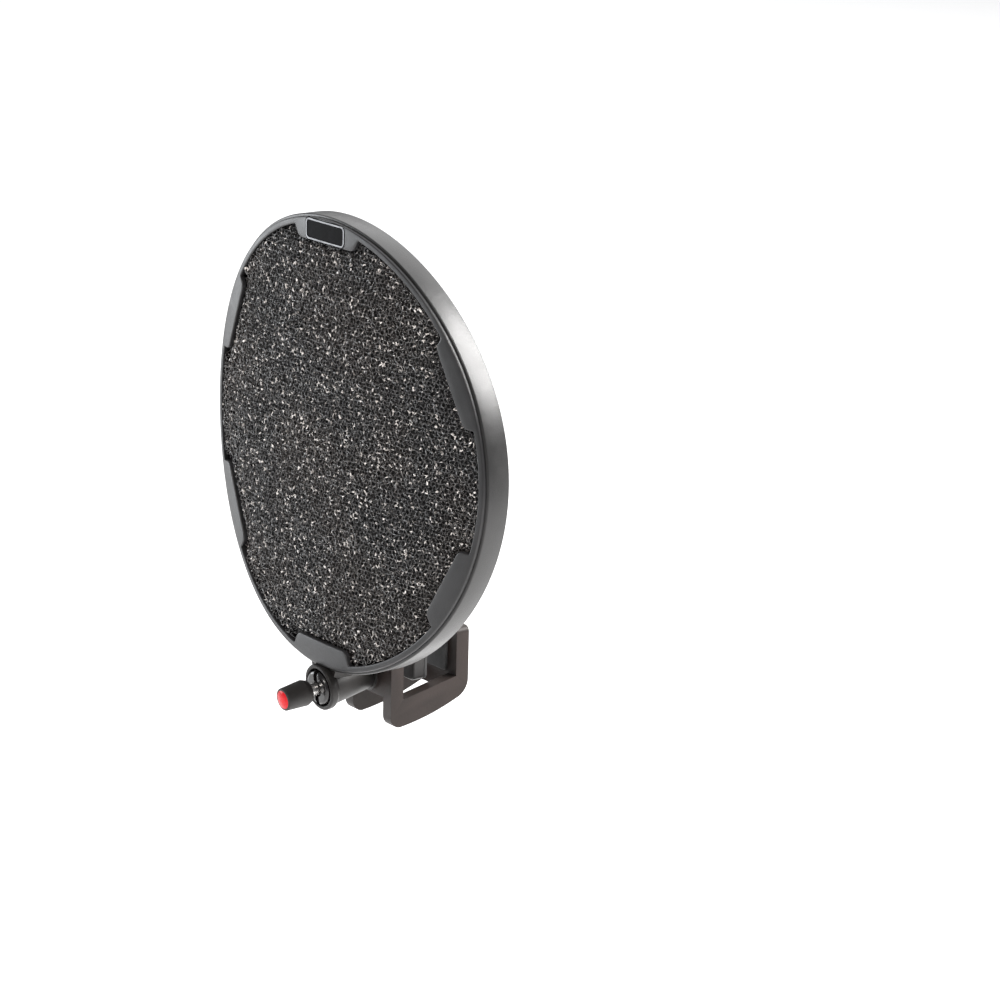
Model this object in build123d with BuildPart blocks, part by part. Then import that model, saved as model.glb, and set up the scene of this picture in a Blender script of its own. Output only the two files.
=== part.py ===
"""Curved foam pop filter with a collet barrel, a push rod and a hook clamp for a shock mount's ring."""

import os
from math import asin, cos, radians, sin

from build123d import *

os.makedirs("parts", exist_ok=True)

# The frame: +Z up, the front faces -Y, +X is the right as seen from the front.
# The origin is where the rod's axis meets the face of the back jaw's pad.

# How far a cut runs past what it cuts, and how near counts as touching.
CUT_RUN = 1.0
TOUCH = 0.01

# Disc head.
RIM_R = 87.5
RIM_WALL = 1.05
SKIRT_GAP = 0.05
BEZEL_CLEARANCE = 3.0
BEZEL_R = 86.4
BEZEL_INNER_R = 84.0
FOAM_R = 83.8
REAR_LIP_R = 82.0
DISC_Z = 89.15
FRONT_Y = -52.8
DISC_BACK_Y = -23.0
DISC_SPAN = 38.0
DISC_HALF_HEIGHT = 105.0
BEND_SAGITTA = 10.6
BEND_R = (RIM_R**2 + BEND_SAGITTA**2) / (2 * BEND_SAGITTA)

# Depths behind the curved front face.
BEZEL_DEPTH = 2.2
TAB_DEPTH = 1.7
SKIRT_DEPTH = 7.4
SKIRT_WALL = 1.4
GROOVE_DEPTH = 1.25
FOAM_FRONT = 1.8
FOAM_BACK = 9.3
REAR_DEPTH = 9.4
RIM_DEPTH = 10.5

# Inward tabs that hold the foam.
TAB_ANGLES = (63.4, 119.5, 180.0, 240.5, 296.6)
REAR_TAB_ANGLES = (0.0, 63.4, 119.5, 180.0, 240.5, 296.6)
TAB_CHORD = 77.8
TAB_HALF = 15.7
TAB_ROOT_HALF = 19.0
TAB_ROOT = 84.6
TAB_FILLET = 2.1
TAB_EDGE_R = 81.5
TAB_RISE = 0.8

# Badge and the wider tab that carries it.
BADGE_TAB_CHORD = 76.2
BADGE_TAB_HALF = 17.3
BADGE_TAB_ROOT_HALF = 23.0
BADGE_CENTRE = 81.4
BADGE_RECESS = (25.4, 8.7)
BADGE_RECESS_DEPTH = 0.9
BADGE_OUTER = (24.6, 7.9)
BADGE_BORDER = 0.6
BADGE_FIT = 0.05
BADGE_PROUD = -0.15
BADGE_PLATE_FRONT = 0.05
BADGE_BACK = 0.7
BADGE_CORNER = 2.0

# Rod axis, tilted nose down from the level.
TILT = 6.6

# Stations are distances from the origin along the rod's axis, towards the front.
ROD_R = 2.5
ROD_BORE_R = ROD_R + 0.06
ROD_TIP = 11.5
ROD_TIP_CHAMFER = 0.3
ROD_TIP_RELIEF = 0.1
ROD_FRONT = 68.2
CLIP_GROOVE = (12.25, 12.9)
CLIP_GROOVE_R = 2.0

SPIGOT_R = 5.1
SPIGOT_BORE_R = 3.7
SPIGOT_END = 24.0
RING_GROOVE = (24.5, 25.4)
RING_GROOVE_R = 4.5
SHOULDER = 32.0
SHOULDER_R = 6.4
CONE_FRONT = 49.65
CONE_FRONT_R = 8.1
LIP_R = 9.15
LIP_BACK = 50.9
LIP_FRONT = 53.7
LIP_FILLET = 0.6
MOUTH_R = 7.5
MOUTH_FLOOR = 49.3
SHANK_BORE_R = 5.8
SHANK_FLOOR = 38.3
NECK_R = 3.0
NECK_BACK = 31.3
SADDLE_TOP_HALF = 10.45
SADDLE_LOW_HALF = 7.3
SADDLE_TOP = -86.2
SADDLE_LOW = -92.1

COLLET_HEAD_R = 6.9
COLLET_HEAD_BACK = 49.4
COLLET_FRONT = 54.8
COLLET_SHANK_R = 5.75
COLLET_BACK = 39.45
COLLET_SLOT = 2.3
COLLET_SLOT_BACK = 42.9
COLLET_FILLET = 1.5
COLLET_EASE = 0.5
COLLET_BELL_R = 3.35
O_RING_S = 47.1
O_RING_R = 5.35
O_RING_WIRE = 0.45
O_RING_GROOVE_HALF = 0.6
O_RING_GROOVE_R = 4.85

# Knob.
KNOB_BACK = 58.6
KNOB_WIDE = 60.8
KNOB_FRONT = 70.3
KNOB_BACK_R = 4.3
KNOB_WIDE_R = 5.15
KNOB_FRONT_R = 4.45
KNOB_FILLET = 0.6
SLEEVE_GAP = 0.1
CORE_R = 3.6
CORE_BACK = 59.75
CORE_FRONT = 69.15
CAP_R = 3.6
CAP_RISE = 0.6

# Foot.
FOOT_FACE = -8.7
PAD_THICKNESS = 1.4
FOOT_BACK = -15.3
FOOT_HALF_X = 9.4
FOOT_LOW = -8.1
FOOT_HIGH = 6.5
FOOT_CORNER = 1.9
FOOT_EDGE = 0.6
POCKET_R = 4.3
POCKET_S = 13.0
E_CLIP_R = 3.85
E_CLIP_FIT = 0.05
E_CLIP_MOUTH = 3.4
FOOT_BORE_RUN = 10.0
POCKET_RUN = 4.0

# Clip.
CLIP_HALF_X = 15.1
CHEEK = 5.2
WALL_FRONT = -29.95
WALL_BACK = -24.15
WALL_TOP = 8.1
WALL_LOW = -11.5
JAW_FRONT = 1.1
JAW_BACK = 7.0
JAW_TOP = 12.2
JAW_LOW = -14.5
CLIP_LOW = -23.2
CLIP_CORNER = 3.5
CLIP_TOP_CORNER = 2.3
WINDOW_FRONT_Z = -12.3
WINDOW_BACK_Z = -7.2
BOTTOM_MID = (-12.2, -20.75)
BOTTOM_END = (1.7, -16.1)
HEEL_MID = (5.45, -13.45)
HEEL_END_Z = -9.3

BOSS_R = 7.4
BOSS_BACK = 25.5
BOSS_FRONT = 31.2
SPOT_R = 8.1
SPOT_DEPTH = 4.65
BUSH_R = 6.25
BUSH_BORE_R = SPIGOT_R + 0.06
WASHER_R = 7.2
WASHER_BORE_R = 5.35
WASHER_GAP = 0.05
RING_R = 6.95
RING_FIT = 0.05
RING_SPLIT = 2.8

JAW_PAD_HALF_X = 9.3
JAW_PAD_LOW = -6.4
JAW_PAD_HIGH = 11.0
JAW_PAD_DEPTH = 1.9
JAW_PAD_CORNER = 1.2

AXIS_DIR = (0, -cos(radians(TILT)), -sin(radians(TILT)))
ROD_AXIS = Axis((0, 0, 0), AXIS_DIR)
PROFILE = Plane(origin=(0, 0, 0), x_dir=(1, 0, 0), z_dir=(0, sin(radians(TILT)), -cos(radians(TILT))))
DISC_PLANE = Plane(origin=(0, DISC_BACK_Y, DISC_Z), x_dir=(1, 0, 0), z_dir=(0, -1, 0))
SIDE = Plane.YZ


def station(s):
    """The plane across the rod's axis at station s, facing the front."""
    return Plane(origin=tuple(s * a for a in AXIS_DIR), x_dir=(1, 0, 0), z_dir=AXIS_DIR)


def keep_layer(near, far):
    """Keep what lies between two depths behind the curved front face."""
    with BuildSketch(Plane.XY.offset(DISC_Z - DISC_HALF_HEIGHT)) as band:
        with Locations((0, FRONT_Y + BEND_R)):
            Circle(BEND_R - near)
            Circle(BEND_R - far, mode=Mode.SUBTRACT)
    extrude(band.sketch, amount=2 * DISC_HALF_HEIGHT, mode=Mode.INTERSECT)


def ring_layer(outer, inner, near, far):
    """A ring of the disc between two depths, as a solid to fuse, or a whole disc if inner is 0."""
    with BuildPart(mode=Mode.PRIVATE) as layer:
        with BuildSketch(DISC_PLANE):
            Circle(outer)
            if inner:
                Circle(inner, mode=Mode.SUBTRACT)
        extrude(amount=DISC_SPAN)
        keep_layer(near, far)
    return layer.part


def tab_layer(angles, outer, inner, near, far, badge):
    """The ring with its inward tabs between two depths."""
    with BuildPart(mode=Mode.PRIVATE) as layer:
        with BuildSketch(DISC_PLANE) as outline:
            Circle(outer)
            Circle(inner, mode=Mode.SUBTRACT)
            for angle in angles:
                with Locations(Location((0, TAB_RISE, 0), (0, 0, -angle))):
                    Polygon(
                        (-TAB_HALF, TAB_CHORD),
                        (TAB_HALF, TAB_CHORD),
                        (TAB_ROOT_HALF, TAB_ROOT),
                        (-TAB_ROOT_HALF, TAB_ROOT),
                        align=None,
                    )
            if badge:
                with Locations((0, TAB_RISE)):
                    Polygon(
                        (-BADGE_TAB_HALF, BADGE_TAB_CHORD),
                        (BADGE_TAB_HALF, BADGE_TAB_CHORD),
                        (BADGE_TAB_ROOT_HALF, TAB_ROOT),
                        (-BADGE_TAB_ROOT_HALF, TAB_ROOT),
                        align=None,
                    )
            Circle(outer, mode=Mode.INTERSECT)
            tips = outline.vertices().filter_by(lambda v: outline_radius(v) < TAB_EDGE_R)
            fillet(tips, TAB_FILLET)
        extrude(amount=DISC_SPAN)
        keep_layer(near, far)
    return layer.part


def outline_radius(vertex):
    """Distance of a sketch vertex from the disc's centre."""
    return (Vector(vertex.X, vertex.Y, vertex.Z)).length


def badge_slab(width, height, corner, near, far):
    """A rounded rectangle on the badge tab, bent with the front face."""
    with BuildPart(mode=Mode.PRIVATE) as slab:
        with BuildSketch(DISC_PLANE):
            with Locations((0, BADGE_CENTRE)):
                RectangleRounded(width, height, corner)
        extrude(amount=DISC_SPAN)
        keep_layer(near, far)
    return slab.part


def revolve_profile(points):
    """Revolve (radius, station) points about the rod's axis in the current part."""
    with BuildSketch(PROFILE) as outline:
        Polygon(*points, align=None)
    revolve(outline.sketch, axis=ROD_AXIS)


def tube(outer, inner, near, far):
    """A round tube about the rod's axis between two stations."""
    with BuildSketch(station(near)) as section:
        Circle(outer)
        Circle(inner, mode=Mode.SUBTRACT)
    extrude(section.sketch, amount=far - near)


def saddle_layer(near, far):
    """The web that joins the barrel to the rim between two depths."""
    with BuildPart(mode=Mode.PRIVATE) as saddle:
        with BuildSketch(DISC_PLANE):
            Polygon(
                (-SADDLE_TOP_HALF, SADDLE_TOP),
                (SADDLE_TOP_HALF, SADDLE_TOP),
                (SADDLE_LOW_HALF, SADDLE_LOW),
                (-SADDLE_LOW_HALF, SADDLE_LOW),
                align=None,
            )
        extrude(amount=DISC_SPAN)
        keep_layer(near, far)
    return saddle.part


# Disc head.
with BuildPart() as rim_frame:
    add(ring_layer(RIM_R, RIM_R - RIM_WALL, GROOVE_DEPTH, RIM_DEPTH))
    add(tab_layer(REAR_TAB_ANGLES, RIM_R, REAR_LIP_R, REAR_DEPTH, RIM_DEPTH, False))
    add(saddle_layer(GROOVE_DEPTH, RIM_DEPTH))
    with BuildSketch(PROFILE) as barrel_profile:
        Polygon(
            (0, SPIGOT_END),
            (SPIGOT_R, SPIGOT_END),
            (SPIGOT_R, RING_GROOVE[0]),
            (RING_GROOVE_R, RING_GROOVE[0]),
            (RING_GROOVE_R, RING_GROOVE[1]),
            (SPIGOT_R, RING_GROOVE[1]),
            (SPIGOT_R, SHOULDER),
            (SHOULDER_R, SHOULDER),
            (CONE_FRONT_R, CONE_FRONT),
            (LIP_R, LIP_BACK),
            (LIP_R, LIP_FRONT),
            (0, LIP_FRONT),
            align=None,
        )
    revolve(axis=ROD_AXIS)
    with BuildSketch(PROFILE):
        Polygon(
            (0, SPIGOT_END - CUT_RUN),
            (SPIGOT_BORE_R, SPIGOT_END - CUT_RUN),
            (SPIGOT_BORE_R, NECK_BACK),
            (NECK_R, NECK_BACK),
            (NECK_R, SHANK_FLOOR),
            (SHANK_BORE_R, SHANK_FLOOR),
            (SHANK_BORE_R, MOUTH_FLOOR),
            (MOUTH_R, MOUTH_FLOOR),
            (MOUTH_R, LIP_FRONT + CUT_RUN),
            (0, LIP_FRONT + CUT_RUN),
            align=None,
        )
    revolve(axis=ROD_AXIS, mode=Mode.SUBTRACT)
    mouth_edges = rim_frame.edges().filter_by(GeomType.CIRCLE).sort_by(ROD_AXIS)[-2:]
    fillet(mouth_edges, LIP_FILLET)
    add(ring_layer(RIM_R - RIM_WALL, 0, -BEZEL_CLEARANCE, REAR_DEPTH), mode=Mode.SUBTRACT)

with BuildPart() as front_bezel:
    add(tab_layer(TAB_ANGLES, BEZEL_R, BEZEL_INNER_R, 0, TAB_DEPTH, True))
    add(ring_layer(BEZEL_R, BEZEL_INNER_R, TAB_DEPTH, BEZEL_DEPTH))
    skirt_r = RIM_R - RIM_WALL - SKIRT_GAP
    add(ring_layer(skirt_r, skirt_r - SKIRT_WALL, BEZEL_DEPTH, SKIRT_DEPTH))
    recess_w, recess_h = BADGE_RECESS
    add(badge_slab(recess_w, recess_h, BADGE_CORNER, -CUT_RUN, BADGE_RECESS_DEPTH), mode=Mode.SUBTRACT)

with BuildPart() as foam_disc:
    add(ring_layer(FOAM_R, 0, FOAM_FRONT, FOAM_BACK))

badge_w, badge_h = BADGE_OUTER
inner_w = badge_w - 2 * BADGE_BORDER
inner_h = badge_h - 2 * BADGE_BORDER
inner_corner = BADGE_CORNER - BADGE_BORDER
with BuildPart() as badge_frame:
    add(badge_slab(badge_w, badge_h, BADGE_CORNER, BADGE_PROUD, BADGE_BACK))
    opening = badge_slab(inner_w, inner_h, inner_corner, BADGE_PROUD - CUT_RUN, BADGE_BACK + CUT_RUN)
    add(opening, mode=Mode.SUBTRACT)

with BuildPart() as badge_plate:
    plate_w = inner_w - 2 * BADGE_FIT
    plate_h = inner_h - 2 * BADGE_FIT
    add(badge_slab(plate_w, plate_h, inner_corner, BADGE_PLATE_FRONT, BADGE_BACK))

with BuildPart() as badge_pad:
    add(badge_slab(badge_w, badge_h, BADGE_CORNER, BADGE_BACK, BADGE_RECESS_DEPTH))

with BuildPart() as collet:
    revolve_profile(
        (
            (ROD_BORE_R, COLLET_BACK),
            (COLLET_SHANK_R, COLLET_BACK),
            (COLLET_SHANK_R, O_RING_S - O_RING_GROOVE_HALF),
            (O_RING_GROOVE_R, O_RING_S - O_RING_GROOVE_HALF),
            (O_RING_GROOVE_R, O_RING_S + O_RING_GROOVE_HALF),
            (COLLET_SHANK_R, O_RING_S + O_RING_GROOVE_HALF),
            (COLLET_SHANK_R, COLLET_HEAD_BACK),
            (COLLET_HEAD_R, COLLET_HEAD_BACK),
            (COLLET_HEAD_R, COLLET_FRONT - COLLET_FILLET),
            (COLLET_HEAD_R - COLLET_EASE, COLLET_FRONT - COLLET_EASE),
            (COLLET_HEAD_R - COLLET_FILLET, COLLET_FRONT),
            (COLLET_BELL_R, COLLET_FRONT),
            (ROD_BORE_R, COLLET_FRONT - (COLLET_BELL_R - ROD_BORE_R)),
        )
    )
    with BuildSketch(station(COLLET_SLOT_BACK)):
        Rectangle(COLLET_SLOT, 4 * COLLET_HEAD_R)
    extrude(amount=COLLET_FRONT - COLLET_SLOT_BACK + CUT_RUN, mode=Mode.SUBTRACT)

with BuildPart() as collet_ring:
    with BuildSketch(PROFILE):
        with Locations((O_RING_R, O_RING_S)):
            Circle(O_RING_WIRE)
    revolve(axis=ROD_AXIS)

with BuildPart() as rod_bush:
    tube(SPIGOT_BORE_R, ROD_BORE_R, SPIGOT_END, NECK_BACK)

# Rod and knob.
with BuildPart() as clamp_rod:
    revolve_profile(
        (
            (0, ROD_TIP),
            (ROD_R - ROD_TIP_CHAMFER, ROD_TIP),
            (ROD_R - ROD_TIP_RELIEF, ROD_TIP + ROD_TIP_CHAMFER),
            (ROD_R - ROD_TIP_RELIEF, CLIP_GROOVE[0]),
            (CLIP_GROOVE_R, CLIP_GROOVE[0]),
            (CLIP_GROOVE_R, CLIP_GROOVE[1]),
            (ROD_R, CLIP_GROOVE[1]),
            (ROD_R, ROD_FRONT),
            (0, ROD_FRONT),
        )
    )

with BuildPart() as foot_clip:
    tube(E_CLIP_R, CLIP_GROOVE_R, CLIP_GROOVE[0] + E_CLIP_FIT, CLIP_GROOVE[1] - E_CLIP_FIT)
    with BuildSketch(station(CLIP_GROOVE[0])):
        with Locations((0, -E_CLIP_R)):
            Rectangle(E_CLIP_MOUTH, 2 * E_CLIP_R)
    extrude(amount=CUT_RUN, mode=Mode.SUBTRACT)

with BuildPart() as knob_core:
    revolve_profile(
        (
            (ROD_R, CORE_BACK),
            (CORE_R, CORE_BACK),
            (CORE_R, CORE_FRONT),
            (0, CORE_FRONT),
            (0, ROD_FRONT),
            (ROD_R, ROD_FRONT),
        )
    )

with BuildPart() as knob_sleeve:
    revolve_profile(
        (
            (ROD_R + SLEEVE_GAP, KNOB_BACK),
            (KNOB_BACK_R, KNOB_BACK),
            (KNOB_WIDE_R, KNOB_WIDE),
            (KNOB_FRONT_R, KNOB_FRONT),
            (CORE_R, KNOB_FRONT),
            (CORE_R, CORE_BACK),
            (ROD_R + SLEEVE_GAP, CORE_BACK),
        )
    )
    outer_edges = knob_sleeve.edges().filter_by(GeomType.CIRCLE)
    fillet(outer_edges.filter_by(lambda e: e.radius > KNOB_BACK_R - TOUCH), KNOB_FILLET)

dome_r = (CAP_R**2 + CAP_RISE**2) / (2 * CAP_RISE)
dome_angle = asin(CAP_R / dome_r) / 2
dome_mid = (dome_r * sin(dome_angle), KNOB_FRONT + CAP_RISE - dome_r * (1 - cos(dome_angle)))
with BuildPart() as knob_cap:
    with BuildSketch(PROFILE):
        with BuildLine():
            Line((0, CORE_FRONT), (CAP_R, CORE_FRONT))
            Line((CAP_R, CORE_FRONT), (CAP_R, KNOB_FRONT))
            ThreePointArc((CAP_R, KNOB_FRONT), dome_mid, (0, KNOB_FRONT + CAP_RISE))
            Line((0, KNOB_FRONT + CAP_RISE), (0, CORE_FRONT))
        make_face()
    revolve(axis=ROD_AXIS)

# Foot that presses the ring.
pad_back = FOOT_FACE - PAD_THICKNESS
foot_height = FOOT_HIGH - FOOT_LOW
foot_centre = (FOOT_HIGH + FOOT_LOW) / 2
FOOT_PLANE = Plane(origin=(0, 0, foot_centre), x_dir=(1, 0, 0), z_dir=(0, -1, 0))
with BuildPart() as foot_body:
    with BuildSketch(FOOT_PLANE.offset(-pad_back)):
        RectangleRounded(2 * FOOT_HALF_X, foot_height, FOOT_CORNER)
    extrude(amount=pad_back - FOOT_BACK)
    back_edges = foot_body.faces().sort_by(Axis.Y)[0].edges()
    chamfer(back_edges, FOOT_EDGE)
    with BuildSketch(station(ROD_TIP - POCKET_RUN)):
        Circle(POCKET_R)
    extrude(amount=POCKET_S - ROD_TIP + POCKET_RUN, mode=Mode.SUBTRACT)
    with BuildSketch(station(POCKET_S - CUT_RUN)):
        Circle(ROD_BORE_R)
    extrude(amount=FOOT_BORE_RUN, mode=Mode.SUBTRACT)

with BuildPart() as foot_pad:
    with BuildSketch(FOOT_PLANE.offset(-FOOT_FACE)):
        RectangleRounded(2 * FOOT_HALF_X, foot_height, FOOT_CORNER)
    extrude(amount=PAD_THICKNESS)

# Clip.
with BuildPart() as clip_body:
    for side in (-1, 1):
        plane = SIDE.offset(side * CLIP_HALF_X - (CHEEK if side > 0 else 0))
        with BuildSketch(plane) as cheek_outline:
            with BuildLine():
                Line((WALL_FRONT, WALL_TOP), (WALL_FRONT, CLIP_LOW + CLIP_CORNER))
                bend = CLIP_CORNER * (1 - cos(radians(45)))
                corner_mid = (WALL_FRONT + bend, CLIP_LOW + bend)
                corner_end = (WALL_FRONT + CLIP_CORNER, CLIP_LOW)
                ThreePointArc((WALL_FRONT, CLIP_LOW + CLIP_CORNER), corner_mid, corner_end)
                ThreePointArc(corner_end, BOTTOM_MID, BOTTOM_END)
                ThreePointArc(BOTTOM_END, HEEL_MID, (JAW_BACK, HEEL_END_Z))
                Line((JAW_BACK, HEEL_END_Z), (JAW_BACK, JAW_TOP))
                Line((JAW_BACK, JAW_TOP), (JAW_FRONT, JAW_TOP))
                Line((JAW_FRONT, JAW_TOP), (JAW_FRONT, WINDOW_BACK_Z))
                Line((JAW_FRONT, WINDOW_BACK_Z), (WALL_BACK, WINDOW_FRONT_Z))
                Line((WALL_BACK, WINDOW_FRONT_Z), (WALL_BACK, WALL_TOP))
                Line((WALL_BACK, WALL_TOP), (WALL_FRONT, WALL_TOP))
            make_face()
        extrude(amount=CHEEK)
    wall_half = CLIP_HALF_X - CHEEK
    with BuildSketch(SIDE.offset(-wall_half)):
        with Locations(((WALL_FRONT + WALL_BACK) / 2, (WALL_TOP + WALL_LOW) / 2)):
            Rectangle(WALL_BACK - WALL_FRONT, WALL_TOP - WALL_LOW)
        with Locations(((JAW_FRONT + JAW_BACK) / 2, (JAW_TOP + JAW_LOW) / 2)):
            Rectangle(JAW_BACK - JAW_FRONT, JAW_TOP - JAW_LOW)
    extrude(amount=2 * wall_half)
    top_corners = clip_body.edges().filter_by(Axis.Y).filter_by(
        lambda e: abs(abs(e.center().X) - CLIP_HALF_X) < TOUCH and e.center().Z > WALL_TOP - TOUCH
    )
    fillet(top_corners, CLIP_TOP_CORNER)
    with BuildSketch(station(BOSS_BACK)):
        Circle(BOSS_R)
    extrude(amount=BOSS_FRONT - BOSS_BACK)
    with BuildSketch(station(BOSS_BACK)):
        Circle(SPOT_R)
    extrude(amount=-SPOT_DEPTH, mode=Mode.SUBTRACT)
    with BuildSketch(station(BOSS_BACK - SPOT_DEPTH)):
        Circle(BUSH_R)
    extrude(amount=BOSS_FRONT - BOSS_BACK + SPOT_DEPTH + CUT_RUN, mode=Mode.SUBTRACT)
    with BuildSketch(Plane.XZ.offset(-JAW_FRONT)):
        with Locations((0, (JAW_PAD_LOW + JAW_PAD_HIGH) / 2)):
            RectangleRounded(2 * JAW_PAD_HALF_X, JAW_PAD_HIGH - JAW_PAD_LOW, JAW_PAD_CORNER)
    extrude(amount=JAW_FRONT - JAW_PAD_DEPTH, mode=Mode.SUBTRACT)

with BuildPart() as jaw_pad:
    with BuildSketch(Plane.XZ.offset(-JAW_PAD_DEPTH)):
        with Locations((0, (JAW_PAD_LOW + JAW_PAD_HIGH) / 2)):
            RectangleRounded(2 * JAW_PAD_HALF_X, JAW_PAD_HIGH - JAW_PAD_LOW, JAW_PAD_CORNER)
    extrude(amount=JAW_PAD_DEPTH)

with BuildPart() as swivel_bush:
    tube(BUSH_R, BUSH_BORE_R, BOSS_BACK, BOSS_FRONT)

with BuildPart() as swivel_washer:
    tube(WASHER_R, WASHER_BORE_R, BOSS_FRONT, SHOULDER - WASHER_GAP)

with BuildPart() as swivel_ring:
    tube(RING_R, RING_GROOVE_R, RING_GROOVE[0] + RING_FIT, RING_GROOVE[1] - RING_FIT)
    with BuildSketch(station(RING_GROOVE[0])):
        with Locations((0, RING_R)):
            Rectangle(RING_SPLIT, 2 * (RING_R - RING_GROOVE_R + CUT_RUN))
    extrude(amount=CUT_RUN, mode=Mode.SUBTRACT)

PIECES = {
    "rim_frame": rim_frame,
    "front_bezel": front_bezel,
    "foam_disc": foam_disc,
    "badge_frame": badge_frame,
    "badge_plate": badge_plate,
    "badge_pad": badge_pad,
    "collet": collet,
    "collet_ring": collet_ring,
    "rod_bush": rod_bush,
    "clamp_rod": clamp_rod,
    "foot_clip": foot_clip,
    "knob_core": knob_core,
    "knob_sleeve": knob_sleeve,
    "knob_cap": knob_cap,
    "foot_body": foot_body,
    "foot_pad": foot_pad,
    "clip_body": clip_body,
    "jaw_pad": jaw_pad,
    "swivel_bush": swivel_bush,
    "swivel_washer": swivel_washer,
    "swivel_ring": swivel_ring,
}
for name, piece in PIECES.items():
    piece.part.label = name
    export_step(piece.part, f"parts/{name}.step")
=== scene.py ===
"""Looks of the curved foam pop filter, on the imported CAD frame. Metres, +Z up, the front faces -Y."""

import math

import bpy
import bmesh
import numpy as np
from mathutils import Matrix, Vector


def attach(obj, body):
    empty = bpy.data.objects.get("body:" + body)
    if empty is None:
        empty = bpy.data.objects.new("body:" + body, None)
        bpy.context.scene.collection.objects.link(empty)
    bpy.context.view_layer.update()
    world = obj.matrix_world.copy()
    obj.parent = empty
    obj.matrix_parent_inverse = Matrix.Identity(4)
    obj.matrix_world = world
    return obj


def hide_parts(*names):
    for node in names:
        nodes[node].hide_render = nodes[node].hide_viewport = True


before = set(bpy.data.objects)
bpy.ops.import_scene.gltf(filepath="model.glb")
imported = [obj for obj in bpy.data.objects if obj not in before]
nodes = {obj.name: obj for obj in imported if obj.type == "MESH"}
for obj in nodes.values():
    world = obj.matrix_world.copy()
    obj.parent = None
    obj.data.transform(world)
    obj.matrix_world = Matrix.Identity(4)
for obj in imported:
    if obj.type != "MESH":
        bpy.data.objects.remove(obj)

MM = 0.001
SEED = 20
RANDOM = np.random.default_rng(SEED)
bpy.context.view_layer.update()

# The curved disc, as the CAD has it.
FRONT_Y = -52.8 * MM
DISC_Z = 89.15 * MM
BEND_R = 366.4 * MM
FOAM_R = 83.8 * MM
FOAM_FRONT = 1.8 * MM
FOAM_BACK = 9.3 * MM

# Foam nets: pitch, jitter, depth under the foam's face, spread of that depth, crown, strand radii,
# and the face they lie under (1 is the front). Rows of sites are ROW pitches apart and lean, so a
# net needs NET_REACH times its radius of them.
FRONT_NET = (1.85 * MM, 0.18, 0.15 * MM, 0.8 * MM, 1.6 * MM, (0.16 * MM, 0.28 * MM), 1)
FRONT_DEEP_NET = (2.2 * MM, 0.18, 1.2 * MM, 0.7 * MM, 1.3 * MM, (0.14 * MM, 0.24 * MM), 1)
BACK_NET = (1.85 * MM, 0.18, 0.15 * MM, 0.7 * MM, 0.0, (0.15 * MM, 0.24 * MM), -1)
BACK_DEEP_NET = (2.2 * MM, 0.16, 1.0 * MM, 0.6 * MM, 0.0, (0.14 * MM, 0.22 * MM), -1)
NET_OVERLAP = 0.1 * MM
NET_REACH = 1.16
ROW = math.sqrt(0.75)
THICK_SHARE = 0.14
THICK_GAIN = 2.0

# Strands from one net down to the next.
LINK_DEPTH = 1.5 * MM
LINK_SWAY = 0.35 * MM
LINK_RADII = (0.12 * MM, 0.2 * MM)

# Where the tabs press on the foam.
SHELTER_MARGIN = 3.0 * MM
SHELTER_RUN = 2.5 * MM

# The crumbly body behind the nets.
CORE_COUNT = 205
CORE_GAP = 0.3 * MM
CORE_FRONT = 1.9 * MM
CORE_BACK = 1.6 * MM
CORE_ROUGH = 0.7 * MM

# Bezel and rim, as radii from the disc's centre and depths behind its front face.
BEZEL_R = 86.4 * MM
BEZEL_INNER_R = 84.0 * MM
BEZEL_DEPTH = 2.2 * MM
SKIRT_INNER_R = 85.0 * MM
SKIRT_DEPTH = 7.4 * MM
RIM_R = 87.5 * MM
RIM_INNER_R = 86.45 * MM
RIM_FRONT = 1.25 * MM
RIM_DEPTH = 10.5 * MM
REAR_LIP_R = 82.0 * MM
REAR_DEPTH = 9.4 * MM
BEZEL_EDGE = 0.5 * MM
RIM_EDGE = 0.45 * MM
LIP_STEP = 0.2 * MM
EDGE_STEPS = 5
FACE_SHARES = (0.33, 0.67)
CORNER_STEPS = 6
EASE_STEPS = 5

# Tabs: (angle, chord, half width, half width at the root).
TAB_DEPTH = 1.7 * MM
TAB_ROOT = 84.6 * MM
TAB_RISE = 0.8 * MM
TAB_FILLET = 3.4 * MM
BADGE_TAB = (0.0, 76.2 * MM, 17.3 * MM, 23.0 * MM)
SIDE_TAB = (77.8 * MM, 15.7 * MM, 19.0 * MM)
SIDE_TABS = [(angle, *SIDE_TAB) for angle in (63.4, 119.5, 180.0, 240.5, 296.6)]
REAR_TABS = [(0.0, *SIDE_TAB)] + SIDE_TABS
ROOT_SAMPLES = 200
CHORD_STEPS = 16
SLOPE_STEPS = 5
BEARING_STEP = 0.02
BADGE_RECESS = (25.4 * MM, 8.7 * MM)
BADGE_RECESS_DEPTH = 0.9 * MM
BADGE_CENTRE = 81.4 * MM
BADGE_CORNER = 2.0 * MM
CUTTER_FRONT = -1.0 * MM

# Sharper edges than these, in degrees, stay crisp in the shading.
CREASE = 40.0
TURNED_CREASE = 35.0

# The rod's axis leans nose down, and stations run along it to the front.
TILT = math.radians(6.6)
AXIS = np.array([0.0, -math.cos(TILT), -math.sin(TILT)])
AXIS_UP = np.array([0.0, -math.sin(TILT), math.cos(TILT)])
TURN_STEPS = 96
CYLINDER_STEPS = 72
WELD = 0.001 * MM

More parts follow.
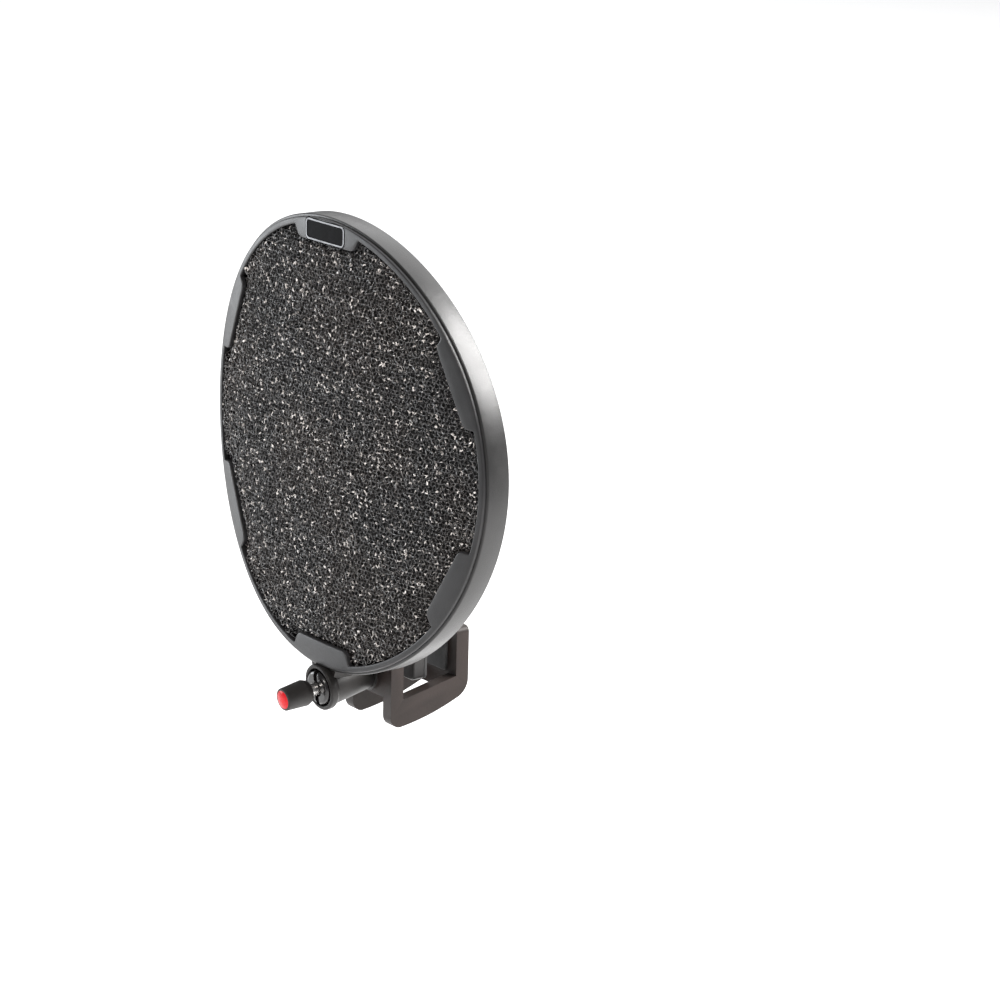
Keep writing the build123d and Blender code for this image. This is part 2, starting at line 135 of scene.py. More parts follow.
# The barrel, as (radius, station, ease) corners in millimetres.
BARREL = (
    (3.7, 24.0, 0),
    (5.1, 24.0, 0.3),
    (5.1, 24.5, 0),
    (4.5, 24.5, 0),
    (4.5, 25.4, 0),
    (5.1, 25.4, 0),
    (5.1, 32.0, 0),
    (6.4, 32.0, 0.3),
    (8.1, 49.65, 2.0),
    (9.15, 50.9, 1.0),
    (9.15, 53.7, 0.7),
    (7.5, 53.7, 0.5),
    (7.5, 49.3, 0),
    (5.8, 49.3, 0),
    (5.8, 38.3, 0),
    (3.0, 38.3, 0),
    (3.0, 31.3, 0),
    (3.7, 31.3, 0),
)

# The saddle between rim and barrel: half widths, heights from the disc's centre, and steps.
SADDLE_TOP_HALF = 8.4 * MM
SADDLE_LOW_HALF = 6.0 * MM
SADDLE_TOP = -86.6 * MM
SADDLE_LOW = -92.1 * MM
SADDLE_INSET = 0.3 * MM
SADDLE_ACROSS = 17
SADDLE_DEEP = 5

# The hook clip in millimetres: places from front to back, then up, then across.
CLIP_FRONT = -29.95
WALL_BACK = -24.15
JAW_FRONT = 1.1
CLIP_BACK = 7.0
WALL_TOP = 8.1
JAW_TOP = 12.2
WALL_LOW = -11.5
JAW_LOW = -14.5
CLIP_LOW = -23.2
CLIP_CORNER = 4.5
BOTTOM_MIDDLE = (-12.2, -20.75)
BOTTOM_END = (1.7, -16.1)
HEEL_MIDDLE = (5.45, -13.45)
HEEL_TOP = -9.3
WINDOW_FRONT_Z = -12.3
WINDOW_BACK_Z = -7.2
CLIP_HALF = 15.1
CHEEK_INNER = 9.9
CLIP_TOP_CORNER = 2.3
CLIP_TOP_STEPS = 7
PAD_RECESS = (0.1, 1.9, -6.4, 11.0)
PAD_HALF = 9.3
ARC_STEPS = 14
NEAR = 0.01

# Cylinders round the rod's axis in the clip, in millimetres: radius, first and last station.
BOSS = (7.4, 25.5, 31.2)
SPOT = (8.1, 20.85, 25.5)
BORE = (6.25, 20.0, 32.2)

# Edges of the copied CAD nodes.
CLIP_EDGE = 0.6 * MM
COLLET_EDGE = 0.25 * MM
FOOT_EDGE = 0.3 * MM
PAD_EDGE = 0.3 * MM
BEVEL_SEGMENTS = 3
BEVEL_ANGLE = 32.0
FLAT_ANGLE = 0.6
COPY_WELD = 0.002 * MM

# Camera.
CAMERA_AT = (1.0537, -0.7859, 0.4191)
VIEW_AZIMUTH = 52.17
VIEW_ELEVATION = 15.24
VIEW_ROLL = 1.4
LENS = 126.9
SENSOR = 36.0
CLIP_END = 100.0

# Studio: softboxes as name, place, aim, width, height, watts and colour.
WORLD_COLOUR = (0.97, 0.98, 1.0)
WORLD_STRENGTH = 0.36
SOFTBOXES = (
    ("ceiling", (-2.4, 1.95, 2.6), (-2.4, 1.95, 0.0), 5.6, 4.6, 185.0, (1.0, 1.0, 1.0)),
    ("left_box", (-1.42, -0.82, 0.0), (0, -0.05, 0.09), 0.9, 0.5, 10.0, (0.94, 0.97, 1.0)),
    ("back_box", (0.74, 0.83, 0.93), (0, -0.04, 0.1), 0.9, 0.9, 72.0, (1.0, 0.99, 0.98)),
    ("front_box", (0.9, -1.2, 1.1), (0, -0.05, 0.09), 0.4, 0.4, 16.0, (1.0, 0.95, 0.91)),
)
FLOOR_Z = -0.42
FLOOR_HALF = 14.0
FLOOR_COLOUR = (0.94, 0.94, 0.94)
FLOOR_ROUGHNESS = 0.9


# ---------------------------------------------------------------- camera, light and floor

def placed(name, data):
    """A new object in the scene for a mesh, a light or a camera."""
    thing = bpy.data.objects.new(name, data)
    bpy.context.scene.collection.objects.link(thing)
    return thing


def add_camera():
    """The view of the front from its left side."""
    data = bpy.data.cameras.new("view")
    data.lens = LENS
    data.sensor_width = SENSOR
    data.clip_end = CLIP_END
    camera = placed("view", data)
    turn = Matrix.Rotation(math.radians(VIEW_AZIMUTH), 4, "Z")
    tip = Matrix.Rotation(math.radians(90 - VIEW_ELEVATION), 4, "X")
    roll = Matrix.Rotation(math.radians(VIEW_ROLL), 4, "Z")
    camera.matrix_world = Matrix.Translation(CAMERA_AT) @ turn @ tip @ roll
    bpy.context.scene.camera = camera


def add_softbox(name, at, aim, width, height, power, colour):
    """A rectangular area light at a point, facing another."""
    data = bpy.data.lights.new(name, "AREA")
    data.shape = "RECTANGLE"
    data.size = width
    data.size_y = height
    data.energy = power
    data.color = colour
    lamp = placed(name, data)
    lamp.location = at
    lamp.rotation_euler = (Vector(aim) - Vector(at)).to_track_quat("-Z", "Y").to_euler()


def add_world(colour, strength):
    """Even pale light from all round."""
    world = bpy.data.worlds.new("studio")
    bpy.context.scene.world = world
    world.use_nodes = True
    background = world.node_tree.nodes["Background"]
    background.inputs["Color"].default_value = (*colour, 1.0)
    background.inputs["Strength"].default_value = strength


def add_floor():
    """A plain pale floor far below the held object."""
    mesh = bpy.data.meshes.new("floor")
    corners = [(-1, -1), (1, -1), (1, 1), (-1, 1)]
    verts = [(x * FLOOR_HALF, y * FLOOR_HALF, FLOOR_Z) for x, y in corners]
    mesh.from_pydata(verts, [], [(0, 1, 2, 3)])
    floor = placed("floor", mesh)
    material = bpy.data.materials.new("floor")
    material.use_nodes = True
    shader = material.node_tree.nodes["Principled BSDF"]
    shader.inputs["Base Color"].default_value = (*FLOOR_COLOUR, 1.0)
    shader.inputs["Roughness"].default_value = FLOOR_ROUGHNESS
    mesh.materials.append(material)


# ---------------------------------------------------------------- materials

class Look:
    """A Principled material with short calls for the nodes in front of it."""

    def __init__(self, name, roughness=0.5, metallic=0.0, ior=1.5, specular=0.5):
        self.material = bpy.data.materials.new(name)
        self.material.use_nodes = True
        self.tree = self.material.node_tree
        self.shader = self.tree.nodes["Principled BSDF"]
        self.shader.inputs["Roughness"].default_value = roughness
        self.shader.inputs["Metallic"].default_value = metallic
        self.shader.inputs["IOR"].default_value = ior
        self.shader.inputs["Specular IOR Level"].default_value = specular
        self.place = self.tree.nodes.new("ShaderNodeTexCoord").outputs["Object"]

    def link(self, out, into):
        self.tree.links.new(out, into)

    def noise(self, scale, detail=2.0, stretch=None):
        """Noise from 0 to 1, with scale in cells to the metre."""
        node = self.tree.nodes.new("ShaderNodeTexNoise")
        node.inputs["Scale"].default_value = scale
        node.inputs["Detail"].default_value = detail
        place = self.place
        if stretch:
            mapping = self.tree.nodes.new("ShaderNodeMapping")
            mapping.inputs["Scale"].default_value = stretch
            self.link(place, mapping.inputs["Vector"])
            place = mapping.outputs["Vector"]
        self.link(place, node.inputs["Vector"])
        return node.outputs["Fac"]

    def cells(self, scale, output):
        """Scattered cells: the Distance within each, or a random Color for each."""
        node = self.tree.nodes.new("ShaderNodeTexVoronoi")
        node.inputs["Scale"].default_value = scale
        self.link(self.place, node.inputs["Vector"])
        return node.outputs[output]

    def ramp(self, value, low, high, at_low, at_high):
        """Maps a value between two levels, smoothly, and holds it outside them."""
        node = self.tree.nodes.new("ShaderNodeMapRange")
        node.interpolation_type = "SMOOTHSTEP"
        levels = {"From Min": low, "From Max": high, "To Min": at_low, "To Max": at_high}
        for key, number in levels.items():
            node.inputs[key].default_value = number
        self.link(value, node.inputs["Value"])
        return node.outputs["Result"]

    def mix(self, share, first, second):
        """Mixes two colours, each three numbers or an output."""
        node = self.tree.nodes.new("ShaderNodeMix")
        node.data_type = "RGBA"
        # The node has its colour sockets at these places, after those of other kinds.
        self.link(share, node.inputs[0])
        for socket, colour in ((node.inputs[6], first), (node.inputs[7], second)):
            if isinstance(colour, tuple):
                socket.default_value = (*colour, 1.0)
            else:
                self.link(colour, socket)
        return node.outputs[2]

    def add(self, first, second, weight):
        """first + second * weight."""
        node = self.tree.nodes.new("ShaderNodeMath")
        node.operation = "MULTIPLY_ADD"
        node.inputs[1].default_value = weight
        self.link(second, node.inputs[0])
        self.link(first, node.inputs[2])
        return node.outputs["Value"]

    def edges(self, low=0.52, high=0.6):
        """Near 1 on outer edges and near 0 elsewhere."""
        geometry = self.tree.nodes.new("ShaderNodeNewGeometry")
        return self.ramp(geometry.outputs["Pointiness"], low, high, 0.0, 1.0)

    def colour(self, out):
        self.link(out, self.shader.inputs["Base Color"])

    def roughness(self, out):
        self.link(out, self.shader.inputs["Roughness"])

    def bump(self, height, depth):
        """Raises the surface by depth metres where height is 1."""
        node = self.tree.nodes.new("ShaderNodeBump")
        node.inputs["Distance"].default_value = depth
        self.link(height, node.inputs["Height"])
        self.link(node.outputs["Normal"], self.shader.inputs["Normal"])


def moulded(name, dark, light, edge_wear_and_highlight, roughness, grain, depth, specular=0.4):
    """Textured moulded plastic: blotches, spark-eroded grain, and paler edges that are partly wear and
    partly a painted highlight.
    """
    look = Look(name, roughness, specular=specular)
    blotch = look.noise(55.0, 3.0)
    fine = look.noise(grain, 2.0)
    base = look.mix(look.ramp(look.add(blotch, fine, 0.35), 0.5, 0.85, 0.0, 1.0), dark, light)
    # Paler edges: partly wear, partly a painted highlight along the edges.
    look.colour(look.mix(look.edges(), base, edge_wear_and_highlight))
    look.roughness(look.ramp(look.add(blotch, fine, 0.5), 0.45, 1.05, roughness - 0.06, roughness + 0.08))
    look.bump(fine, depth)
    return look.material


def turned_metal(name, colour, stain, roughness, rings):
    """Turned metal with fine rings round the rod's axis and faint smears."""
    look = Look(name, roughness, metallic=1.0)
    rings_height = look.noise(rings, 1.0, stretch=(0.02, 1.0, 0.02))
    smear = look.noise(140.0, 4.0)
    look.colour(look.mix(look.ramp(smear, 0.45, 0.75, 0.0, 1.0), colour, stain))
    look.roughness(look.ramp(smear, 0.35, 0.75, roughness, roughness + 0.12))
    look.bump(rings_height, 0.004 * MM)
    return look.material


def rubber(name, dark, light, roughness, grain, depth):
    """Matte rubber with a powdery bloom."""
    look = Look(name, roughness)
    bloom = look.noise(180.0, 4.0)
    fine = look.noise(grain, 3.0)
    base = look.mix(look.ramp(bloom, 0.4, 0.7, 0.0, 1.0), dark, light)
    look.colour(look.mix(look.edges(0.53, 0.66), base, tuple(min(1.0, 2.2 * c) for c in light)))
    look.roughness(look.ramp(bloom, 0.35, 0.7, roughness - 0.05, roughness + 0.07))
    look.bump(fine, depth)
    return look.material


def foam_strands():
    """Glossy near-black foam strands, each a little different, with painted glints on a few scattered
    cells.
    """
    look = Look("foam_strands", 0.3, ior=1.9)
    tone = look.noise(900.0, 2.0)
    wide = look.noise(24.0, 2.0)
    # Painted highlight: a few scattered cells of the strands take the pale warm colour mixed in below, as
    # glints.
    painted_glint = look.ramp(look.cells(950.0, "Color"), 0.79, 0.85, 0.0, 1.0)
    base = look.mix(look.ramp(tone, 0.35, 0.7, 0.0, 1.0), (0.004, 0.004, 0.005), (0.02, 0.018, 0.018))
    warm = look.mix(look.ramp(wide, 0.4, 0.65, 0.0, 1.0), base, (0.022, 0.0165, 0.014))
    look.colour(look.mix(painted_glint, warm, (0.86, 0.81, 0.77)))
    look.roughness(look.ramp(tone, 0.3, 0.75, 0.2, 0.45))
    look.bump(look.noise(3200.0, 2.0), 0.05 * MM)
    return look.material


def foam_depth():
    """The darker body behind the strands."""
    look = Look("foam_depth", 0.6)
    tone = look.noise(700.0, 3.0)
    share = look.ramp(tone, 0.4, 0.7, 0.0, 1.0)
    look.colour(look.mix(share, (0.002, 0.002, 0.002), (0.008, 0.0075, 0.0075)))
    look.roughness(look.ramp(tone, 0.3, 0.7, 0.5, 0.75))
    look.bump(look.cells(1100.0, "Distance"), 0.4 * MM)
    return look.material


def glossy(name, dark, light, roughness, ripple, specular=0.5):
    """Polished plastic with faint moulding ripple."""
    look = Look(name, roughness, specular=specular)
    haze = look.noise(220.0, 3.0)
    look.colour(look.mix(look.ramp(haze, 0.4, 0.7, 0.0, 1.0), dark, light))
    look.roughness(look.ramp(haze, 0.3, 0.75, roughness, roughness + 0.1))
    look.bump(look.noise(420.0, 2.0), ripple)
    return look.material


# ---------------------------------------------------------------- shapes

def new_piece(name, mesh, material, body, replaced):
    """Links a mesh as a visible piece, with its material, slot and body."""
    piece = placed(name, mesh)
    mesh.materials.clear()
    mesh.materials.append(material)
    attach(piece, body)
    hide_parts(*replaced)
    return piece


def bent(x, z, depth):
    """Points of the disc: across, up from its centre, and behind its curved front face."""
    y = FRONT_Y + BEND_R - np.sqrt((BEND_R - depth) ** 2 - x**2)
    return np.stack([x, y, DISC_Z + z], axis=-1)


def tab_shelter(x, z):
    """1 under the tabs that hold the foam and 0 well away from them."""
    shelter = np.zeros_like(x)
    for angle, chord, _, half in [BADGE_TAB] + SIDE_TABS:
        turn = math.radians(angle)
        along = x * math.cos(turn) - (z - TAB_RISE) * math.sin(turn)
        out = x * math.sin(turn) + (z - TAB_RISE) * math.cos(turn)
        inside = np.clip((out - chord + SHELTER_MARGIN) / SHELTER_RUN, 0, 1)
        across = np.clip((half + SHELTER_RUN - np.abs(along)) / SHELTER_RUN, 0, 1)
        shelter = np.maximum(shelter, inside * across)
    return shelter


def honeycomb(radius, pitch, jitter):
    """Corners and struts of an uneven hexagon net over a disc."""
    reach = int(radius / pitch * NET_REACH) + 2
    count = 2 * reach + 1
    i, j = np.meshgrid(np.arange(-reach, reach + 1), np.arange(-reach, reach + 1), indexing="ij")
    site_x = (i + 0.5 * j) * pitch
    site_z = j * pitch * ROW
    step = np.array([0.5, ROW / 3]) * pitch
    corners = np.stack([
        np.stack([site_x + step[0], site_z + step[1]], axis=-1),
        np.stack([site_x + 2 * step[0], site_z + 2 * step[1]], axis=-1),
    ], axis=2).reshape(-1, 2)
    corners += RANDOM.normal(0.0, jitter * pitch, corners.shape)
    index = np.arange(count * count).reshape(count, count) * 2
    struts = np.concatenate([
        np.stack([index, index + 1], axis=-1).reshape(-1, 2),
        np.stack([index[1:, :], index[:-1, :] + 1], axis=-1).reshape(-1, 2),
        np.stack([index[:, 1:], index[:, :-1] + 1], axis=-1).reshape(-1, 2),
    ])
    inside = np.hypot(corners[:, 0], corners[:, 1]) < radius
    return corners, struts[inside[struts].all(axis=1)]


def strut_mesh(name, starts, ends, thick):
    """Three-sided closed struts between pairs of points."""
    along = ends - starts
    along /= np.linalg.norm(along, axis=1, keepdims=True)
    level = np.abs(along[:, 1:2]) < 0.8
    helper = np.where(level, np.array([[0.0, 1.0, 0.0]]), np.array([[0.0, 0.0, 1.0]]))
    side = np.cross(along, helper)
    side /= np.linalg.norm(side, axis=1, keepdims=True)
    other = np.cross(along, side)
    roll = RANDOM.uniform(0, 2 * math.pi, len(starts))
    rings = []
    for base in (starts, ends):
        for k in range(3):
            turn = roll + k * 2 * math.pi / 3
            spoke = side * np.cos(turn)[:, None] + other * np.sin(turn)[:, None]
            rings.append(base + spoke * thick[:, None])
    verts = np.stack(rings, axis=1).reshape(-1, 3)
    first = np.arange(len(starts)) * 6
    corners = [(k, (k + 1) % 3, 3 + (k + 1) % 3, 3 + k) for k in range(3)]
    corners += [(2, 1, 0), (3, 4, 5)]
    faces = []
    for corner in corners:
        faces += np.stack([first + step for step in corner], axis=-1).tolist()
    mesh = bpy.data.meshes.new(name)
    mesh.from_pydata(verts.tolist(), [], faces)
    mesh.shade_smooth()
    return mesh


def foam_layer(pitch, jitter, depth, spread, crown, thickness, facing):
    """Ends of the struts of one net, lying at a depth from the foam's front (1) or back (-1)."""
    corners, struts = honeycomb(FOAM_R + NET_OVERLAP, pitch, jitter)
    x, z = corners[:, 0], corners[:, 1]
    rise = crown * (1 - tab_shelter(x, z))
    level = depth - rise + RANDOM.uniform(0, spread, len(x))
    level = FOAM_FRONT + level if facing > 0 else FOAM_BACK - level
    points = bent(x, z, level)
    thick = RANDOM.uniform(*thickness, len(struts))
    thick *= np.where(RANDOM.uniform(0, 1, len(struts)) < THICK_SHARE, THICK_GAIN, 1.0)
    return points, struts, thick


def foam_web(name, layer, material, linked=None):
    """One net of foam strands, with strands down to a deeper net where one is given."""
    points, struts, thick = layer
    starts, ends = points[struts[:, 0]], points[struts[:, 1]]
    if linked is not None:
        above = linked[0]
        used = np.unique(linked[1])
        picked = RANDOM.choice(used, size=len(used) // 2, replace=False)
        sway = RANDOM.normal(0, LINK_SWAY, (len(picked), 3))
        sway[:, 1] = 0
        inward = 1 if above[:, 1].mean() < points[:, 1].mean() else -1
        depth = np.array([0.0, inward * LINK_DEPTH, 0.0])
        starts = np.concatenate([starts, above[picked]])
        ends = np.concatenate([ends, above[picked] + depth + sway])
        thick = np.concatenate([thick, RANDOM.uniform(*LINK_RADII, len(picked))])
    mesh = strut_mesh(name, starts, ends, thick)
    return new_piece(name, mesh, material, "head", ("foam_disc",))


def disc_grid(count):
    """A square grid of points eased onto a unit disc, all cells of one size."""
    a, b = np.meshgrid(np.linspace(-1, 1, count), np.linspace(-1, 1, count), indexing="ij")
    wide = np.abs(a) > np.abs(b)
    safe_a, safe_b = np.where(a == 0, 1, a), np.where(b == 0, 1, b)
    radius = np.where(wide, a, b)
    angle = np.where(wide, math.pi / 4 * b / safe_a, math.pi / 2 - math.pi / 4 * a / safe_b)
    return radius * np.cos(angle), radius * np.sin(angle)


def foam_core(material):
    """The closed crumbly body behind the strands."""
    x, z = disc_grid(CORE_COUNT)
    x, z = x * (FOAM_R - CORE_GAP), z * (FOAM_R - CORE_GAP)
    front = bent(x, z, FOAM_FRONT + CORE_FRONT + RANDOM.uniform(0, CORE_ROUGH, x.shape))
    back = bent(x, z, FOAM_BACK - CORE_BACK - RANDOM.uniform(0, CORE_ROUGH, x.shape))
    shift = CORE_COUNT * CORE_COUNT
    index = np.arange(shift).reshape(CORE_COUNT, CORE_COUNT)
    quad = np.stack([index[:-1, :-1], index[1:, :-1], index[1:, 1:], index[:-1, 1:]], axis=-1)
    quad = quad.reshape(-1, 4)
    rim = np.concatenate([index[0, :-1], index[:-1, -1], index[-1, :0:-1], index[:0:-1, 0]])
    after = np.roll(rim, -1)
    wall = np.stack([rim, after, after + shift, rim + shift], axis=-1)
    faces = np.concatenate([quad, quad[:, ::-1] + shift, wall])
    verts = np.concatenate([front.reshape(-1, 3), back.reshape(-1, 3)])
    mesh = bpy.data.meshes.new("foam_core")
    mesh.from_pydata(verts.tolist(), [], faces.tolist())
    tidy_normals(mesh)
    piece = new_piece("foam_core", mesh, material, "head", ("foam_disc",))


def tidy_normals(mesh):
    """Makes all faces look outward and shades them smooth."""
    work = bmesh.new()
    work.from_mesh(mesh)
    bmesh.ops.recalc_face_normals(work, faces=work.faces)
    work.to_mesh(mesh)
    work.free()
    mesh.shade_smooth()


def arc_corner(before, corner, after, radius, count=CORNER_STEPS):
    """Points that round a corner between two straight runs."""
    a = (before - corner) / np.linalg.norm(before - corner)
    b = (after - corner) / np.linalg.norm(after - corner)
    half = math.acos(float(np.clip(a @ b, -1, 1))) / 2
    middle = corner + (a + b) / np.linalg.norm(a + b) * radius / math.sin(half)
    start = corner + a * radius / math.tan(half) - middle
    end = corner + b * radius / math.tan(half) - middle
    sweep = math.acos(float(np.clip(start @ end / radius**2, -1, 1)))
    steps = np.linspace(0, 1, count)[:, None]
    return middle + (np.sin((1 - steps) * sweep) * start + np.sin(steps * sweep) * end) / math.sin(sweep)


def tab_point(angle, beside, out):
    """A point beside a tab's middle line and out along it, from the centre that the tabs share."""
    turn = math.radians(angle)
    across = np.array([math.cos(turn), -math.sin(turn)])
    outward = np.array([math.sin(turn), math.cos(turn)])
    return np.array([0.0, TAB_RISE]) + beside * across + out * outward


def tab_outline(tabs, radius):
    """The disc's opening, clockwise from its top, as a circle with inward tabs."""
    runs = []
    for angle, chord, half, root_half in sorted(tabs):
        roots = []
        for side in (-1, 1):
            near = tab_point(angle, side * half, chord)
            far = tab_point(angle, side * root_half, TAB_ROOT)
            share = np.linspace(0, 1, ROOT_SAMPLES)[:, None]
            line = near + (far - near) * share
            roots.append(line[np.argmin(np.abs(np.hypot(line[:, 0], line[:, 1]) - radius))])
        left, right = tab_point(angle, -half, chord), tab_point(angle, half, chord)
        first = arc_corner(roots[0], left, right, TAB_FILLET)
        last = arc_corner(left, right, roots[1], TAB_FILLET)
        slope = np.linspace(0, 1, SLOPE_STEPS)[:, None]
        chord_steps = np.linspace(0, 1, CHORD_STEPS)[1:-1, None]
        runs.append(np.concatenate([
            roots[0] + (first[0] - roots[0]) * slope[:-1],
            first,
            first[-1] + (last[0] - first[-1]) * chord_steps,
            last,
            last[-1] + (roots[1] - last[-1]) * slope[1:],
        ]))
    points = []
    for run, following in zip(runs, runs[1:] + runs[:1]):
        points.append(run)
        start = math.atan2(run[-1][0], run[-1][1])
        end = math.atan2(following[0][0], following[0][1])
        gap = (end - start) % (2 * math.pi)
        bearings = start + gap * np.linspace(0, 1, max(3, int(gap / BEARING_STEP)))[1:-1]
        points.append(radius * np.stack([np.sin(bearings), np.cos(bearings)], axis=-1))
    return np.concatenate(points)


def outward_normals(outline):
    """Unit directions away from the opening at each of its points."""
    along = np.roll(outline, -1, axis=0) - np.roll(outline, 1, axis=0)
    along /= np.linalg.norm(along, axis=1, keepdims=True)
    return np.stack([-along[:, 1], along[:, 0]], axis=-1)


def swept_mesh(name, rings, crease=CREASE):
    """A closed band through rings of points, smooth but for edges sharper than the crease."""
    count = len(rings[0])
    verts = np.concatenate(rings)
    index = np.arange(len(verts)).reshape(len(rings), count)
    across, along = np.roll(index, -1, axis=0), np.roll(index, -1, axis=1)
    corner = np.roll(across, -1, axis=1)
    faces = np.stack([index, along, corner, across], axis=-1).reshape(-1, 4)
    mesh = bpy.data.meshes.new(name)
    mesh.from_pydata(verts.tolist(), [], faces.tolist())
    tidy_normals(mesh)
    crease_edges(mesh, crease)
    return mesh


def crease_edges(mesh, degrees):
    """Keeps edges sharper than an angle crisp in the shading."""
    work = bmesh.new()
    work.from_mesh(mesh)
    for edge in work.edges:
        edge.smooth = edge.calc_face_angle(0.0) < math.radians(degrees)
    work.to_mesh(mesh)
    work.free()


def flange_rings(tabs, inner_r, outer_r, near, far, soft, facing):
    """Rings of a tabbed flange from its hidden side round its face, which is its near side where
    facing is 1 and its far side where it is -1."""
    outline = tab_outline(tabs, inner_r)
    normals = outward_normals(outline)
    face = near if facing > 0 else far
    rings = [flat_ring(outline, face + facing * (far - near))]
    for bend in np.linspace(0, math.pi / 2, EDGE_STEPS):
        ring = outline + normals * soft * (1 - math.cos(bend))
        rings.append(flat_ring(ring, face + facing * soft * (1 - math.sin(bend))))
    bearing = np.arctan2(ring[:, 0], ring[:, 1])
    rim = (outer_r - soft) * np.stack([np.sin(bearing), np.cos(bearing)], axis=-1)
    for share in FACE_SHARES:
        rings.append(flat_ring(ring + (rim - ring) * share, face))
    for bend in np.linspace(0, math.pi / 2, EDGE_STEPS):
        radius = outer_r - soft * (1 - math.sin(bend))
        rings.append(circle_ring(bearing, radius, face + facing * soft * (1 - math.cos(bend))))
    return bearing, rings


def flat_ring(outline, depth):
    """An outline of (across, up) points at one depth behind the disc's front."""
    return bent(outline[:, 0], outline[:, 1], np.full(len(outline), depth))


def circle_ring(bearing, radius, depth):
    """Points on a circle of the disc at given bearings from its top."""
    return bent(radius * np.sin(bearing), radius * np.cos(bearing), np.full(len(bearing), depth))


def bezel(material):
    """The front bezel with its tabs, rounded edges and the badge's recess."""
    tabs = [BADGE_TAB] + SIDE_TABS
    bearing, rings = flange_rings(tabs, BEZEL_INNER_R, BEZEL_R, 0.0, TAB_DEPTH, BEZEL_EDGE, 1)
    for radius, depth in (
        (BEZEL_R, BEZEL_DEPTH),
        (BEZEL_R, SKIRT_DEPTH),
        (SKIRT_INNER_R, SKIRT_DEPTH),
        (SKIRT_INNER_R, BEZEL_DEPTH),
        (BEZEL_INNER_R + LIP_STEP, BEZEL_DEPTH),
        (BEZEL_INNER_R + LIP_STEP, TAB_DEPTH),
    ):
        rings.append(circle_ring(bearing, radius, depth))
    holder = placed("bezel_work", swept_mesh("bezel", rings))
    result = carved(holder, [("DIFFERENCE", badge_cutter())])
    result.shade_smooth()
    crease_edges(result, CREASE)
    return new_piece("bezel", result, material, "head", ("front_bezel",))


def badge_cutter():
    """A rounded block where the badge sits in its tab."""
    half_w, half_h = BADGE_RECESS[0] / 2, BADGE_RECESS[1] / 2
    signs = ((-1, -1), (1, -1), (1, 1), (-1, 1))
    corners = [np.array([x * half_w, z * half_h]) for x, z in signs]
    outline = np.concatenate([
        arc_corner(corners[k - 1], corners[k], corners[(k + 1) % 4], BADGE_CORNER) for k in range(4)
    ])
    outline[:, 1] += BADGE_CENTRE
    return prism("cutter", flat_ring(outline, CUTTER_FRONT), flat_ring(outline, BADGE_RECESS_DEPTH))


def rim(material):
    """The rim's band with rounded edges and its tabbed rear lip."""
    bearing, rings = flange_rings(REAR_TABS, REAR_LIP_R, RIM_R, REAR_DEPTH, RIM_DEPTH, RIM_EDGE, -1)
    for bend in np.linspace(0, math.pi / 2, EDGE_STEPS):
        radius = RIM_R - RIM_EDGE * (1 - math.cos(bend))
        rings.append(circle_ring(bearing, radius, RIM_FRONT + RIM_EDGE * (1 - math.sin(bend))))
    rings.append(circle_ring(bearing, RIM_INNER_R, RIM_FRONT))
    rings.append(circle_ring(bearing, RIM_INNER_R, REAR_DEPTH))
    mesh = swept_mesh("rim", rings)
    return new_piece("rim", mesh, material, "head", ("rim_frame",))


def eased(profile):
    """(radius, station, ease) corners as points, with each corner rounded by its ease."""
    corners = [np.array(c[:2]) for c in profile]
    points = []
    for k, (_, _, ease) in enumerate(profile):
        if ease:
            after = corners[(k + 1) % len(corners)]
            points.extend(arc_corner(corners[k - 1], corners[k], after, ease, EASE_STEPS))
        else:
            points.append(corners[k])
    return points


def axis_spokes(count):
    """Unit directions round the rod's axis."""
    bearing = np.linspace(0, 2 * math.pi, count, endpoint=False)
    across = np.array([1.0, 0.0, 0.0])
    return np.sin(bearing)[:, None] * across + np.cos(bearing)[:, None] * AXIS_UP


def turned(name, profile):
    """A piece turned about the rod's axis from a closed profile of (radius, station, ease) corners."""
    spokes = axis_spokes(TURN_STEPS)
    rings = [along * MM * AXIS + radius * MM * spokes for radius, along in eased(profile)]
    mesh = swept_mesh(name, rings, TURNED_CREASE)
    work = bmesh.new()
    work.from_mesh(mesh)
    bmesh.ops.remove_doubles(work, verts=work.verts, dist=WELD)
    work.to_mesh(mesh)
    work.free()
    return mesh


def barrel():
    """The barrel with its cone, rounded lip and stepped bore, cut clear of the bezel."""
    mesh = turned("barrel", BARREL)
    centre = Vector((0.0, 0.0, DISC_Z))
    for vertex in mesh.vertices:
        reach = Vector((vertex.co.x, 0.0, vertex.co.z)) - centre
        if reach.length < RIM_INNER_R:
            kept = centre + reach.normalized() * RIM_INNER_R
            vertex.co.x, vertex.co.z = kept.x, kept.z
    return mesh


def saddle():
    """The web that carries the rim on the barrel, bent with the disc."""
    near, far = RIM_FRONT + SADDLE_INSET, RIM_DEPTH - SADDLE_INSET
    steps = np.linspace(-1, 1, SADDLE_ACROSS)
    top_x = steps * SADDLE_TOP_HALF
    edge = np.concatenate([
        np.stack([top_x, -np.sqrt(SADDLE_TOP**2 - top_x**2)], axis=-1),
        np.stack([steps[::-1] * SADDLE_LOW_HALF, np.full(SADDLE_ACROSS, SADDLE_LOW)], axis=-1),
    ])
    rings = [flat_ring(edge, depth) for depth in np.linspace(near, far, SADDLE_DEEP)]
    count = len(edge)
    last = SADDLE_DEEP - 1
    faces = [list(range(count))[::-1], list(range(last * count, SADDLE_DEEP * count))]
    for k in range(last):
        for j in range(count):
            nxt = (j + 1) % count
            faces.append([k * count + j, k * count + nxt, (k + 1) * count + nxt, (k + 1) * count + j])
    mesh = bpy.data.meshes.new("saddle")
    mesh.from_pydata(np.concatenate(rings).tolist(), [], faces)
    tidy_normals(mesh)
    crease_edges(mesh, CREASE)
    return mesh


